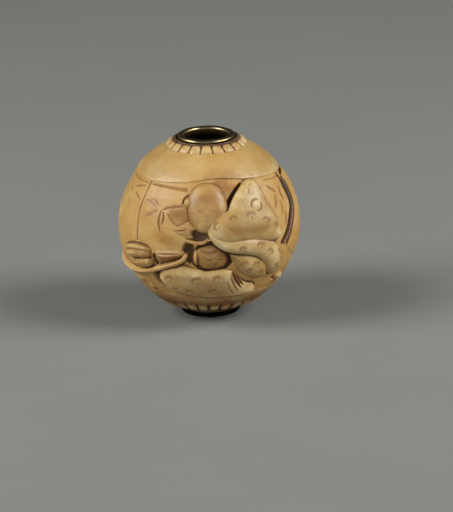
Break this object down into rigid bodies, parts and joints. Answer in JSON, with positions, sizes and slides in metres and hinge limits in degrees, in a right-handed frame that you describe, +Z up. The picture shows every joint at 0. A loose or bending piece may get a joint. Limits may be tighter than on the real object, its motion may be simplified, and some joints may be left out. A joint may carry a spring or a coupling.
{
  "type": "carved cord bead",
  "caption": "Ball-shaped carved bead for a doubled cord, with a flanged metal eyelet in each end of its hole.",
  "frame": {"origin": "on the cord hole's axis, in the plane of the lower eyelet's rim", "axes": "+Z up the cord hole towards the upper eyelet, -Y towards the side seen in the picture, +X to that view's right"},
  "size_m": [0.0179, 0.0186, 0.0182],
  "materials": {
    "aged_ivory": "satin",
    "aged_gilt": "polished"
  },
  "bodies": {
    "root": {"ivory_bead": "aged_ivory", "upper_eyelet": "aged_gilt", "lower_eyelet": "aged_gilt"}
  },
  "joints": []
}
